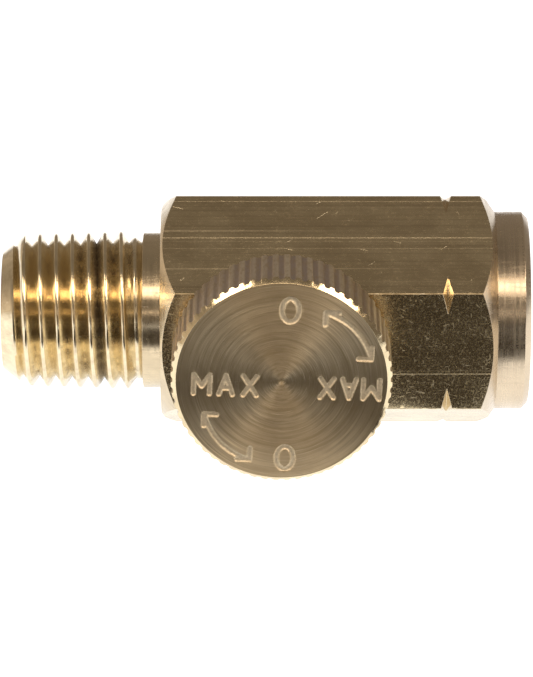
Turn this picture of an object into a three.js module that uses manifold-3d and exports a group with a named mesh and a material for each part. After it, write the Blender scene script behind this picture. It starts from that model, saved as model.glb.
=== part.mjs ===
// In-line air throttle valve: a brass hexagon-bar body with a male and a female taper pipe thread,
// and a knurled knob turned in one piece with the rotary plug that crosses the flow.
// Millimetres. The flow axis is X, from the male end plane at x = 0 to the female end.
// The knob looks along -Y and +Z is up, so two corners of the hexagon point straight up and down.

import * as THREE from 'three';
import { mergeVertices } from 'three/addons/utils/BufferGeometryUtils.js';
import Module from 'manifold-3d';

const wasm = await Module();
wasm.setup();

// ---- driving dimensions ----

const pitch = 25.4 / 18; // 18 threads per inch
const taper = 1 / 32; // growth of the thread's radius per mm of length
const threadDepth = 1.02;
const crestFlat = 0.18;
const flank = Math.tan(Math.PI / 6); // 60 degree thread form

const hexAcrossFlats = 18.5;
const hexStart = 13.8;
const hexEnd = 42.7;
const overallLength = 45.6;

const maleCrestRadius = 6.56; // at the end plane
const maleThreadEnd = 12.1;
const neckRadius = 6.77;
const collarRadius = 8.6;
const femaleMajorRadius = 6.81; // at the mouth
const femaleThreadDepth = 12.0;

const spindleX = 24.2;
const spindleRadius = 4.0;
const runningClearance = 0.05;
const portRadius = 2.5;

const knobRadius = 9.36;
const knobFront = 15.6; // distance of the knob's face from the flow axis
const knobTeeth = 60;

const washerGap = 0.02; // between two pieces that lie on each other
const overlap = 0.2; // how far two joined stretches of one piece run into each other
const past = 0.5; // how far a cutting shape runs on beyond what it cuts

const threadSides = 24; // flats round one turn of thread, and round the hollows that cut it
const flowSides = 48; // flats round the other shapes about the flow axis
const spindleSides = 32; // flats round the shapes about the spindle's axis

// ---- worked-out dimensions ----

const hexCorner = hexAcrossFlats / Math.sqrt(3);
const hexFlat = hexAcrossFlats / 2;
const boreRadius = spindleRadius + runningClearance;

const slipWasher = { outer: 5.2, inner: boreRadius + 0.05, thick: 0.6 };
const thrustWasher = { outer: 4.8, inner: 2.6, thick: 0.8 };
const waveWasher = { outer: 4.6, inner: 2.65, thick: 0.25, rise: 0.2, waves: 3 };
const clip = { outer: 4.65, grip: 2.06, relief: 3.2, thick: 0.7 };

const knobBack = hexFlat + slipWasher.thick + 2 * washerGap;
const thrustWasherY = hexFlat + washerGap;
const waveWasherY = thrustWasherY + thrustWasher.thick + washerGap;
const waveWasherHeight = waveWasher.thick + 2 * waveWasher.rise;
const clipY = waveWasherY + waveWasherHeight + washerGap;

const tailRadius = 2.5;
const tailBoreRadius = tailRadius + runningClearance;
const tailEnd = clipY + clip.thick + 1.0;
const shoulderY = 6.6; // step between the spindle bore and the tail bore

const oRing = { cord: 1.5, groove: 2.8, grooveWidth: 1.9, y: [-5.6, 4.9] };

// ---- solids and meshes ----

function solidFrom(geometry) {
  const bare = geometry.clone();
  bare.deleteAttribute('normal');
  bare.deleteAttribute('uv');
  const merged = mergeVertices(bare, 1e-5);
  const index = merged.index.array;
  const triangles = [];
  for (let i = 0; i < index.length; i += 3) {
    const [a, b, c] = index.slice(i, i + 3);
    if (a !== b && b !== c && c !== a) triangles.push(a, b, c);
  }
  return new wasm.Manifold(new wasm.Mesh({
    numProp: 3,
    vertProperties: new Float32Array(merged.attributes.position.array),
    triVerts: new Uint32Array(triangles),
  }));
}

function geometryFrom(solid) {
  const mesh = solid.getMesh();
  const geometry = new THREE.BufferGeometry();
  geometry.setAttribute('position', new THREE.BufferAttribute(new Float32Array(mesh.vertProperties), 3));
  geometry.setIndex(new THREE.BufferAttribute(new Uint32Array(mesh.triVerts), 1));
  geometry.computeVertexNormals();
  return geometry;
}

// A solid of revolution about Y. The profile is a list of [radius, y], in rising y when it starts and
// ends on the axis.
function turned(profile, segments = spindleSides) {
  return new THREE.LatheGeometry(profile.map(([r, y]) => new THREE.Vector2(r, y)), segments);
}

// The same about X, with the profile as a list of [radius, x].
function turnedAlongX(profile, segments = flowSides) {
  return turned(profile, segments).rotateZ(-Math.PI / 2);
}

function ring(inner, outer, low, high, segments = spindleSides) {
  return turned([[inner, low], [outer, low], [outer, high], [inner, high], [inner, low]], segments);
}

// A round bar about X with a right-hand 60 degree thread on it, from a turn before start to a turn after
// end. crestRadiusAt gives the crest's radius at x, heightAt the share of the full height that the thread
// has there, and crestAtTop an x where the crest passes over the top. The surface follows the helix: each
// step has the four corners of the thread's section, and the root strip joins them to the next turn.
function threadedBar(start, end, crestRadiusAt, heightAt, crestAtTop) {
  const halfFoot = crestFlat / 2 + threadDepth * flank;
  const corners = [[-halfFoot, 0], [-crestFlat / 2, 1], [crestFlat / 2, 1], [halfFoot, 0]];
  const turns = Math.ceil((end - start) / pitch) + 2;
  const firstCrest = crestAtTop + (Math.floor((start - crestAtTop) / pitch) - 1) * pitch;
  const last = turns * threadSides;
  const positions = [];
  for (let step = 0; step <= last; step += 1) {
    const angle = Math.PI / 2 + 2 * Math.PI * (step % threadSides) / threadSides;
    for (const [offset, rise] of corners) {
      const x = firstCrest + pitch * step / threadSides + offset;
      const r = crestRadiusAt(x) - threadDepth * (1 - rise * heightAt(x));
      positions.push(x, r * Math.cos(angle), r * Math.sin(angle));
    }
  }
  const at = (step, corner) => 4 * step + corner;
  const lowCentre = positions.length / 3;
  const highCentre = lowCentre + 1;
  positions.push(firstCrest, 0, 0, firstCrest + pitch * turns, 0, 0);

  const index = [];
  const quad = (a, b, c, d) => index.push(a, b, c, a, c, d);
  for (let step = 0; step < last; step += 1) {
    for (let corner = 0; corner < 3; corner += 1) {
      quad(at(step, corner), at(step + 1, corner), at(step + 1, corner + 1), at(step, corner + 1));
    }
    const next = step + threadSides;
    if (next < last) quad(at(step, 3), at(step + 1, 3), at(next + 1, 0), at(next, 0));
  }
  for (let step = 0; step < threadSides; step += 1) {
    const high = last - threadSides + step;
    index.push(lowCentre, at(step + 1, 0), at(step, 0));
    index.push(highCentre, at(high, 3), at(high + 1, 3));
  }
  for (let corner = 0; corner < 3; corner += 1) {
    index.push(lowCentre, at(0, corner), at(0, corner + 1));
    index.push(highCentre, at(last, corner + 1), at(last, corner));
  }
  index.push(lowCentre, at(0, 3), at(threadSides, 0));
  index.push(highCentre, at(last, 0), at(last - threadSides, 3));

  const geometry = new THREE.BufferGeometry();
  geometry.setAttribute('position', new THREE.Float32BufferAttribute(positions, 3));
  geometry.setIndex(index);
  return solidFrom(geometry);
}

// ---- valve body ----

function hexagonBar() {
  const outline = new THREE.Shape();
  for (let i = 0; i < 6; i += 1) {
    const angle = Math.PI / 2 + i * Math.PI / 3;
    const x = hexCorner * Math.cos(angle);
    const y = hexCorner * Math.sin(angle);
    if (i === 0) outline.moveTo(x, y);
    else outline.lineTo(x, y);
  }
  const bar = new THREE.ExtrudeGeometry(outline, { depth: hexEnd - hexStart, bevelEnabled: false });
  bar.rotateX(Math.PI / 2).rotateZ(Math.PI / 2).translate(hexStart, 0, 0); // its y becomes z, its depth x

  const outside = hexCorner + past;
  const leftChamferRadius = 9.0;
  const leftChamfer = 1.35; // length along the axis, up to the corners
  const rightChamferRadius = 8.7;
  const rightChamfer = 1.35;
  const grooveX = 38.4;
  const grooveRadius = 9.85;
  const grooveHalfWidth = (outside - grooveRadius) * flank;
  const leftSlope = (hexCorner - leftChamferRadius) / leftChamfer;
  const rightSlope = (hexCorner - rightChamferRadius) / rightChamfer;
  const envelope = turnedAlongX([
    [0, hexStart],
    [leftChamferRadius, hexStart],
    [outside, hexStart + (outside - leftChamferRadius) / leftSlope],
    [outside, grooveX - grooveHalfWidth],
    [grooveRadius, grooveX],
    [outside, grooveX + grooveHalfWidth],
    [outside, hexEnd - (outside - rightChamferRadius) / rightSlope],
    [rightChamferRadius, hexEnd],
    [0, hexEnd],
  ]);
  return solidFrom(bar).intersect(solidFrom(envelope));
}

function maleThread() {
  const crestRadiusAt = (x) => maleCrestRadius + taper * x;
  const runOut = 1.2;
  const heightAt = (x) => Math.min(1, Math.max(0, (maleThreadEnd - x) / runOut));
  const crestAtTop = 1.85;
  const bar = threadedBar(0, maleThreadEnd, crestRadiusAt, heightAt, crestAtTop);
  const startRadius = 5.1;
  const chamferBend = { x: 0.9, radius: 5.8 };
  const chamferEnd = { x: 2.0, radius: 6.75 };
  const limit = neckRadius + past;
  const startChamfer = turnedAlongX([
    [0, 0],
    [startRadius, 0],
    [chamferBend.radius, chamferBend.x],
    [chamferEnd.radius, chamferEnd.x],
    [limit, chamferEnd.x],
    [limit, maleThreadEnd + overlap],
    [0, maleThreadEnd + overlap],
  ], threadSides);
  return bar.intersect(solidFrom(startChamfer));
}

function neck() {
  return solidFrom(turnedAlongX([
    [0, maleThreadEnd],
    [neckRadius, maleThreadEnd],
    [neckRadius, hexStart + overlap],
    [0, hexStart + overlap],
  ]));
}

function collar() {
  const edge = 0.5;
  return solidFrom(turnedAlongX([
    [0, hexEnd - overlap],
    [collarRadius, hexEnd - overlap],
    [collarRadius, overallLength - edge],
    [collarRadius - edge, overallLength],
    [0, overallLength],
  ]));
}

// The hollow of the female port: its taper thread, the countersunk mouth and the drill's cone.
function femalePort() {
  const end = overallLength + past;
  const threadStart = overallLength - femaleThreadDepth;
  const plainDrill = 1.2; // unthreaded stretch behind the thread
  const drillEnd = threadStart - plainDrill;
  const crestRadiusAt = (x) => femaleMajorRadius - taper * (overallLength - x);
  const heightAt = (x) => Math.min(1, Math.max(0, (x - threadStart) / pitch));
  const bar = threadedBar(drillEnd, end, crestRadiusAt, heightAt, overallLength);
  const drillRadius = crestRadiusAt(drillEnd) - threadDepth;
  const coneTip = 2.0;
  const coneLength = (drillRadius - coneTip) * flank;
  const limit = femaleMajorRadius + past;
  const envelope = turnedAlongX([
    [0, drillEnd - coneLength],
    [coneTip, drillEnd - coneLength],
    [drillRadius, drillEnd],
    [limit, threadStart],
    [limit, end],
    [0, end],
  ], threadSides);
  const mouthRadius = 7.1;
  const sinkDepth = 2.0;
  const countersink = turnedAlongX([
    [0, overallLength - sinkDepth],
    [mouthRadius - sinkDepth, overallLength - sinkDepth],
    [mouthRadius + past, end],
    [0, end],
  ], threadSides);
  return bar.intersect(solidFrom(envelope)).add(solidFrom(countersink));
}

// The male side's drilled hole, and the narrow passage that runs on through the spindle bore.
function flowPassage() {
  const drillRadius = 3.75;
  const passageRadius = portRadius + 0.25;
  const drillEnd = 17.2;
  const drillCone = (drillRadius - passageRadius) * flank;
  const mouth = 0.3;
  const passageEnd = overallLength - femaleThreadDepth;
  return solidFrom(turnedAlongX([
    [0, -past],
    [drillRadius + mouth + past, -past],
    [drillRadius, mouth],
    [drillRadius, drillEnd],
    [passageRadius, drillEnd + drillCone],
    [passageRadius, passageEnd],
    [0, passageEnd],
  ], threadSides));
}

function spindleBore() {
  const mouth = 0.3;
  return solidFrom(turned([
    [0, -hexFlat - past],
    [boreRadius + mouth + past, -hexFlat - past],
    [boreRadius, -hexFlat + mouth],
    [boreRadius, shoulderY],
    [tailBoreRadius, shoulderY],
    [tailBoreRadius, hexFlat + past],
    [0, hexFlat + past],
  ]).translate(spindleX, 0, 0));
}

function valveBody() {
  const outside = hexagonBar().add(maleThread()).add(neck()).add(collar());
  return geometryFrom(outside.subtract(femalePort()).subtract(flowPassage()).subtract(spindleBore()));
}

// ---- knob and spindle ----

// The knob's outline: straight knurl teeth with narrow lands, running along the knob's axis.
function knurlOutline() {
  const toothDepth = 0.16;
  const landStart = 0.3; // shares of the tooth's pitch
  const landEnd = 0.7;
  const step = 2 * Math.PI / knobTeeth;
  const corners = [[0, knobRadius - toothDepth], [landStart, knobRadius], [landEnd, knobRadius]];
  const outline = new THREE.Shape();
  for (let tooth = 0; tooth < knobTeeth; tooth += 1) {
    for (const [share, r] of corners) {
      const angle = (tooth + share) * step;
      if (tooth === 0 && share === 0) outline.moveTo(r, 0);
      else outline.lineTo(r * Math.cos(angle), r * Math.sin(angle));
    }
  }
  outline.closePath();
  return outline;
}

function knobDisc() {
  const width = knobFront - knobBack;
  const teeth = new THREE.ExtrudeGeometry(knurlOutline(), { depth: width, bevelEnabled: false });
  teeth.rotateX(Math.PI / 2).translate(0, -knobBack, 0); // the depth runs along -Y from the back face
  const frontEdge = 0.45;
  const backEdge = frontEdge / 2;
  const centreMark = 0.3;
  const outside = knobRadius + past;
  const envelope = turned([
    [0, -knobFront + centreMark],
    [centreMark, -knobFront],
    [knobRadius - frontEdge, -knobFront],
    [outside, -knobFront + frontEdge + past],
    [outside, -knobBack - backEdge - past],
    [knobRadius - backEdge, -knobBack],
    [0, -knobBack],
  ], knobTeeth);
  return solidFrom(teeth).intersect(solidFrom(envelope));
}

function spindle() {
  const halfGroove = oRing.grooveWidth / 2;
  const grooves = oRing.y.flatMap((y) => [
    [spindleRadius, y - halfGroove],
    [oRing.groove, y - halfGroove],
    [oRing.groove, y + halfGroove],
    [spindleRadius, y + halfGroove],
  ]);
  const clipSlack = 0.03;
  const clipGrooveRadius = 2.0;
  const edge = 0.3;
  const spindleEnd = shoulderY - runningClearance;
  return solidFrom(turned([
    [0, -knobBack - overlap],
    [spindleRadius, -knobBack - overlap],
    ...grooves,
    [spindleRadius, spindleEnd - edge],
    [spindleRadius - edge, spindleEnd],
    [tailRadius, spindleEnd],
    [tailRadius, clipY - clipSlack],
    [clipGrooveRadius, clipY - clipSlack],
    [clipGrooveRadius, clipY + clip.thick + clipSlack],
    [tailRadius, clipY + clip.thick + clipSlack],
    [tailRadius, tailEnd - edge],
    [tailRadius - edge, tailEnd],
    [0, tailEnd],
  ]));
}

function knobSpindle() {
  const reach = spindleRadius + past;
  const portProfile = [[0, -reach], [portRadius, -reach], [portRadius, reach], [0, reach]];
  const port = turnedAlongX(portProfile, threadSides);
  return geometryFrom(knobDisc().add(spindle()).subtract(solidFrom(port)));
}

// ---- seals, washers and clip, each about the spindle's axis ----

function oRingAt(y) {
  const skin = 0.03; // left free between the rubber and the metal
  const inner = oRing.groove + skin;
  const across = (boreRadius - skin - inner) / 2;
  const middle = inner + across;
  const along = oRing.cord / 2;
  const sides = 8;
  const profile = [];
  for (let i = 0; i <= sides; i += 1) {
    const angle = 2 * Math.PI * (i % sides) / sides;
    profile.push([middle + across * Math.cos(angle), y + along * Math.sin(angle)]);
  }
  return turned(profile);
}

function slipWasherRing() {
  const back = -hexFlat - washerGap;
  return ring(slipWasher.inner, slipWasher.outer, back - slipWasher.thick, back);
}

function thrustWasherRing() {
  return ring(thrustWasher.inner, thrustWasher.outer, thrustWasherY, thrustWasherY + thrustWasher.thick);
}

function waveWasherRing() {
  const low = waveWasherY + waveWasher.rise;
  const geometry = ring(waveWasher.inner, waveWasher.outer, low, low + waveWasher.thick, 48);
  const points = geometry.attributes.position;
  for (let i = 0; i < points.count; i += 1) {
    const angle = Math.atan2(points.getZ(i), points.getX(i));
    points.setY(i, points.getY(i) + waveWasher.rise * Math.cos(waveWasher.waves * angle));
  }
  return geometry;
}

// An E-shaped clip: two end prongs and one middle prong grip the groove, with relief between them.
function retainingClip() {
  const mouth = 0.5; // half angles from the middle of the opening, in radians
  const endProngStart = 0.95;
  const endProngEnd = 1.25;
  const reliefStart = 1.4;
  const reliefEnd = Math.PI - 0.56;
  const middleProng = Math.PI - 0.36;
  const turn = 2 * Math.PI;
  const shape = new THREE.Shape();
  shape.absarc(0, 0, clip.outer, mouth, turn - mouth, false);
  shape.absarc(0, 0, clip.grip, turn - endProngStart, turn - endProngEnd, true);
  shape.absarc(0, 0, clip.relief, turn - reliefStart, turn - reliefEnd, true);
  shape.absarc(0, 0, clip.grip, turn - middleProng, middleProng, true);
  shape.absarc(0, 0, clip.relief, reliefEnd, reliefStart, true);
  shape.absarc(0, 0, clip.grip, endProngEnd, endProngStart, true);
  shape.closePath();
  const plateSettings = { depth: clip.thick, bevelEnabled: false, curveSegments: 8 };
  const plate = new THREE.ExtrudeGeometry(shape, plateSettings);
  return plate.rotateX(Math.PI / 2).rotateY(Math.PI / 2).translate(0, clipY + clip.thick, 0);
}

// ---- the assembly ----

const brass = { color: 0xb9a063, roughness: 0.32, metalness: 1 };
const dullBrass = { color: 0xa08c5c, roughness: 0.42, metalness: 1 };
const rubber = { color: 0x1b1b1c, roughness: 0.7, metalness: 0 };
const nylon = { color: 0xe9e6dc, roughness: 0.55, metalness: 0 };
const steel = { color: 0x8d9096, roughness: 0.35, metalness: 1 };

function named(name, geometry, look) {
  const mesh = new THREE.Mesh(geometry, new THREE.MeshStandardMaterial(look));
  mesh.name = name;
  return mesh;
}

const onSpindle = new THREE.Group();
onSpindle.position.x = spindleX;
onSpindle.add(
  named('knob_spindle', knobSpindle(), dullBrass),
  named('front_o_ring', oRingAt(oRing.y[0]), rubber),
  named('rear_o_ring', oRingAt(oRing.y[1]), rubber),
  named('slip_washer', slipWasherRing(), nylon),
  named('thrust_washer', thrustWasherRing(), brass),
  named('wave_washer', waveWasherRing(), steel),
  named('retaining_clip', retainingClip(), steel),
);

const valve = new THREE.Group();
valve.add(named('valve_body', valveBody(), brass), onSpindle);

export default valve;
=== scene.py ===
"""In-line brass air valve: fine meshes, materials, floor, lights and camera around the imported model.

Lengths are millimetres in the shape functions and become metres where a mesh is made. X runs along the
flow axis from the male thread to the female port, the knob looks along -Y, and +Z is up.
"""
import math

import bmesh
import bpy
import numpy as np
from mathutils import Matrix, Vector

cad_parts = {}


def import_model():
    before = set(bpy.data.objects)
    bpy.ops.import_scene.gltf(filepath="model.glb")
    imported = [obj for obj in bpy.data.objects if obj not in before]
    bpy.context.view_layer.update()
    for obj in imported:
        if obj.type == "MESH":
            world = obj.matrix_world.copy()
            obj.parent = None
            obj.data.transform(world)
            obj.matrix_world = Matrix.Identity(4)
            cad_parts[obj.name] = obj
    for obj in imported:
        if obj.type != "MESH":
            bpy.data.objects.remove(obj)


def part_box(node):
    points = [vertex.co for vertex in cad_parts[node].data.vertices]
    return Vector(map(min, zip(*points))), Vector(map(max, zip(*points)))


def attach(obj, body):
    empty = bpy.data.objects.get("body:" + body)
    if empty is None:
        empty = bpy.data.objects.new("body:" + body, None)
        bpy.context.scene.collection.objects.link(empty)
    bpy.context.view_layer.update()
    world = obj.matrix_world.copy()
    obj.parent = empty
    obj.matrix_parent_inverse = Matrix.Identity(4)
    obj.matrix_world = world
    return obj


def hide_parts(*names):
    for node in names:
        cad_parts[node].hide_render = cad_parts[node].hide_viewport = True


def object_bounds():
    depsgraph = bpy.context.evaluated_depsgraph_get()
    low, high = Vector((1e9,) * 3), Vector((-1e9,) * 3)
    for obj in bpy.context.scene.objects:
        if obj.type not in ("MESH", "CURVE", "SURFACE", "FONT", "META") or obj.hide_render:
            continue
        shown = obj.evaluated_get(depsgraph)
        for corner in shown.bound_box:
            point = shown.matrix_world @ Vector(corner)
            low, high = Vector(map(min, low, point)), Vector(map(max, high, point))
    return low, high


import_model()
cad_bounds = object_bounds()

MM = 0.001
MERGE = 0.0004  # points closer together than this many millimetres become one
COS30 = math.cos(math.pi / 6)


# ---- sizes: places come from the CAD boxes, the rest are the sizes of the real shapes ----

def box_mm(node):
    low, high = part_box(node)
    return low / MM, high / MM


BODY_HIGH = box_mm("valve_body")[1]
KNOB_LOW, KNOB_HIGH = box_mm("knob_spindle")
SLIP_LOW = box_mm("slip_washer")[0]
WAVE_LOW, WAVE_HIGH = box_mm("wave_washer")
CLIP_LOW, CLIP_HIGH = box_mm("retaining_clip")
RING_BOXES = {name: box_mm(name) for name in ("front_o_ring", "rear_o_ring")}

PITCH = 25.4 / 18
TAPER = 1 / 32
THREAD_DEPTH = 1.02
CREST_ROUND = 0.2
FLANK = math.tan(math.pi / 6)

LENGTH = BODY_HIGH.x
HEX_FLAT = BODY_HIGH.y
HEX_CORNER = HEX_FLAT / COS30
HEX_START = 13.8
HEX_END = 42.7
HEX_EDGE_RADIUS = 0.11
LEFT_CHAMFER_RADIUS = 9.0
RIGHT_CHAMFER_RADIUS = 8.7
CHAMFER_LENGTH = 1.35
GROOVE_X = 38.4
GROOVE_RADIUS = 9.85
BAR_STEPS = 200

NICK_SEED = 11
NICKS_PER_CORNER = 34
NICK_HALF_LENGTHS = (0.06, 0.14)
NICK_DEPTHS = (0.004, 0.022)

MALE_CREST_RADIUS = 6.56
MALE_CREST_AT_TOP = 1.85
MALE_THREAD_END = 12.1
MALE_RUN_OUT = 1.2
START_CHAMFER = ((0.0, 0.9, 2.0, 2.4), (5.1, 5.8, 6.7, 9.0))  # stations along the thread, and the radii there
NECK_RADIUS = 6.77
COLLAR_RADIUS = 8.6
COLLAR_EDGE = 0.5
FEMALE_MAJOR_RADIUS = 6.81
FEMALE_THREAD_DEPTH = 12.0
FEMALE_THREAD_START = LENGTH - FEMALE_THREAD_DEPTH
TAP_ROOM = 1.2  # plain hole beyond the female thread
MOUTH_RADIUS = 7.1

SPINDLE_X = (KNOB_LOW.x + KNOB_HIGH.x) / 2
SPINDLE_RADIUS = 4.0
RUNNING_GAP = 0.05
BORE_RADIUS = SPINDLE_RADIUS + RUNNING_GAP
BORE_MOUTH = 0.3
SHOULDER_Y = 6.6
TAIL_RADIUS = 2.5
TAIL_END = KNOB_HIGH.y
EDGE_CHAMFER = 0.3
PORT_RADIUS = 2.5
PASSAGE_RADIUS = 2.75
DRILL_RADIUS = 3.75
DRILL_END = 17.2
DRILL_EDGE = 0.3
RING_GROOVE_RADIUS = 2.8
RING_GROOVE_WIDTH = 1.9
CLIP_GROOVE_RADIUS = 2.0
CLIP_SLACK = 0.03
THRUST_INNER_RADIUS = 2.6
WAVE_INNER_RADIUS = 2.65
WAVE_THICK = 0.25

KNOB_FRONT = KNOB_LOW.y
KNOB_BACK = SLIP_LOW.y - 0.02
KNOB_RADIUS = (KNOB_HIGH.x - KNOB_LOW.x) / 2
KNOB_TEETH = 60
TOOTH_STEPS = 12
SECTORS = KNOB_TEETH * TOOTH_STEPS
TOOTH_DEPTH = 0.16
FACE_EDGE = 0.45
FACE_RADIUS = KNOB_RADIUS - FACE_EDGE
DISC_INNER_RADIUS = 5.0

# Material slots of the body's zones, and of the knob's.
DRAWN, TURNED, THREADED, COLLAR, INNER, EDGE = range(6)
FACE, BEVEL, KNURL, PLUG, MARK = range(5)


# ---- mesh helpers ----

def new_object(name, data):
    made = bpy.data.objects.new(name, data)
    bpy.context.scene.collection.objects.link(made)
    return made


def filleted(corners, radii, steps=3):
    """The open polyline corners, each inner corner rounded by its radius.

    The number of points depends only on the number of corners."""
    points = [corners[0]]
    for before, here, after, radius in zip(corners, corners[1:], corners[2:], radii[1:]):
        to_before = np.subtract(before, here)
        to_after = np.subtract(after, here)
        reach_before = np.linalg.norm(to_before)
        reach_after = np.linalg.norm(to_after)
        if min(reach_before, reach_after) < 1e-6:
            points += [here] * (steps + 1)
            continue
        to_before = to_before / reach_before
        to_after = to_after / reach_after
        half = math.acos(max(-1.0, min(1.0, float(to_before @ to_after)))) / 2
        cut = min(radius / max(math.tan(half), 1e-6), 0.45 * reach_before, 0.45 * reach_after)
        start = np.asarray(here) + to_before * cut
        end = np.asarray(here) + to_after * cut
        for i in range(steps + 1):
            t = i / steps
            bend = 2 * t * (1 - t) * np.asarray(here)
            points.append(tuple((1 - t) ** 2 * start + bend + t ** 2 * end))
    points.append(corners[-1])
    return points


def loft(columns, zone_at=None, flip=False):
    """A bmesh of quads between neighbouring columns of points in millimetres.

    zone_at(i, j) is a face's material."""
    bm = bmesh.new()
    rows = [[bm.verts.new(Vector(p) * MM) for p in column] for column in columns]
    for i, (left, right) in enumerate(zip(rows, rows[1:])):
        for j in range(len(left) - 1):
            corners = (left[j], right[j], right[j + 1], left[j + 1])
            face = bm.faces.new(corners[::-1] if flip else corners)
            if zone_at is not None:
                face.material_index = zone_at(i, j)
    return bm


def finished(bm, name, materials):
    """The bmesh as an object with its doubles merged and every face smooth."""
    bmesh.ops.remove_doubles(bm, verts=bm.verts, dist=MERGE * MM)
    bmesh.ops.dissolve_degenerate(bm, edges=bm.edges, dist=MERGE * MM)
    for face in bm.faces:
        face.smooth = True
    mesh = bpy.data.meshes.new(name)
    bm.to_mesh(mesh)
    bm.free()
    for material in materials:
        mesh.materials.append(material)
    return new_object(name, mesh)


def cut(piece, cutter, zone):
    """Applies the difference of piece and cutter, with zone's material on the cut faces, and removes cutter.

    It only takes material away if the cutter's faces point outward."""
    for face in cutter.data.polygons:
        face.material_index = zone
    modifier = piece.modifiers.new("cut", "BOOLEAN")
    modifier.operation = "DIFFERENCE"
    modifier.solver = "EXACT"
    modifier.object = cutter
    depsgraph = bpy.context.evaluated_depsgraph_get()
    mesh = bpy.data.meshes.new_from_object(piece.evaluated_get(depsgraph))
    piece.modifiers.clear()
    old = piece.data
    piece.data = mesh
    mesh.name = old.name
    bpy.data.meshes.remove(old)
    bpy.data.objects.remove(cutter)


def weigh_normals(piece):
    """Lets the larger faces lead the smooth shading."""
    modifier = piece.modifiers.new("weighted_normals", "WEIGHTED_NORMAL")
    modifier.weight = 80
    modifier.keep_sharp = True


def once_round(steps):
    """Angles once round from 0, and 0 again at the end."""
    return [2 * math.pi * (i % steps) / steps for i in range(steps + 1)]


def about_spindle(r, angle, y):
    """A point at radius r and angle from +X towards +Z about the spindle's axis."""
    return (SPINDLE_X + r * math.cos(angle), y, r * math.sin(angle))


def ring_piece(name, profile, materials, sides=96, lift=None):
    """A ring about the spindle's axis from a closed profile of (radius, y).

    lift(angle) moves a column along Y. With the profiles used here the faces point inward."""
    columns = []
    for angle in once_round(sides):
        rise = lift(angle) if lift else 0.0
        columns.append([about_spindle(r, angle, y + rise) for r, y in profile])
    return finished(loft(columns), name, materials)


# ---- valve body ----

CORNER_CENTRE = (HEX_FLAT - HEX_EDGE_RADIUS) / COS30
CORNER_HALF_ANGLE = math.atan2(HEX_EDGE_RADIUS * 0.5, CORNER_CENTRE + HEX_EDGE_RADIUS * COS30)


def hexagon_radius(from_corner):
    """The distance from the flow axis to the rounded hexagon at an angle from its nearest corner."""
    off = abs(from_corner)
    if off > CORNER_HALF_ANGLE:
        return HEX_FLAT / math.cos(math.pi / 6 - off)
    aside = CORNER_CENTRE * math.sin(off)
    return CORNER_CENTRE * math.cos(off) + math.sqrt(HEX_EDGE_RADIUS ** 2 - aside ** 2)


def body_angles():
    """Angles from the top corner round to it again, closer together at the hexagon's rounded corners."""
    near = [math.degrees(CORNER_HALF_ANGLE) * share for share in (0.35, 0.7, 1.0)]
    angles = set()
    for corner in range(6):
        start = 60 * corner
        angles.update(round(start + step, 6) for step in range(0, 60, 2))
        angles.update(round(start + off, 6) for off in near)
        angles.update(round(start + 60 - off, 6) for off in near)
    angles.add(360.0)
    return [math.radians(90 + angle) for angle in sorted(angles)]


def thread_section():
    """One 60 degree thread with a round crest, as (offset from the crest, share of the depth)."""
    right = []
    for degrees in (5, 20, 35, 48, 60):
        turn = math.radians(degrees)
        right.append((CREST_ROUND * math.sin(turn), 1 - CREST_ROUND * (1 - math.cos(turn)) / THREAD_DEPTH))
    top_x, top = right[-1]
    foot_x = top_x + top * THREAD_DEPTH * FLANK
    for share in (0.3, 0.6, 0.9, 1.0):
        right.append((top_x + share * (foot_x - top_x), top * (1 - share)))
    return [(-x, rise) for x, rise in reversed(right)] + right


def thread_points(turn_angle, start, end, crest_radius_at, height_at, crest_at_top, trim):
    """Profile points of a right-hand thread at one angle, held between start and end."""
    section = thread_section()
    first = math.floor((start - crest_at_top) / PITCH) - 2
    last = math.ceil((end - crest_at_top) / PITCH) + 1
    points = []
    for turn in range(first, last + 1):
        centre = crest_at_top + PITCH * (turn + turn_angle / (2 * math.pi))
        for offset, rise in section:
            x = min(end, max(start, centre + offset))
            rise_here = rise if start < centre + offset < end else 0.0
            r = crest_radius_at(x) - THREAD_DEPTH * (1 - rise_here * height_at(x))
            points.append((x, trim(x, r)))
    return points


def male_points(turn_angle):
    return thread_points(
        turn_angle, 0.0, MALE_THREAD_END,
        lambda x: MALE_CREST_RADIUS + TAPER * x,
        lambda x: min(1.0, max(0.0, (MALE_THREAD_END - x) / MALE_RUN_OUT)),
        MALE_CREST_AT_TOP,
        lambda x, r: min(r, float(np.interp(x, *START_CHAMFER))),
    )


def female_points(turn_angle):
    return thread_points(
        turn_angle, FEMALE_THREAD_START, LENGTH,
        lambda x: FEMALE_MAJOR_RADIUS - TAPER * (LENGTH - x),
        lambda x: min(1.0, max(0.0, (x - FEMALE_THREAD_START) / PITCH)),
        LENGTH,
        lambda x, r: max(r, MOUTH_RADIUS - (LENGTH - x)),
    )


def corner_nicks():
    """Small dents along the bar's six corners: (corner, x, half length, depth)."""
    dice = np.random.RandomState(NICK_SEED)
    nicks = []
    for corner in range(6):
        for _ in range(NICKS_PER_CORNER):
            x = dice.uniform(HEX_START + 2, HEX_END - 2)
            nicks.append((corner, x, dice.uniform(*NICK_HALF_LENGTHS), dice.uniform(*NICK_DEPTHS)))
    return nicks


NICKS = corner_nicks()


def nick_depth(corner, x):
    """How deep the nearest dents of a corner are at x."""
    depth = 0.0
    for at, centre, half, deep in NICKS:
        if at == corner and abs(x - centre) < half:
            depth = max(depth, deep * (1 - (abs(x - centre) / half) ** 2))
    return depth


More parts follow.
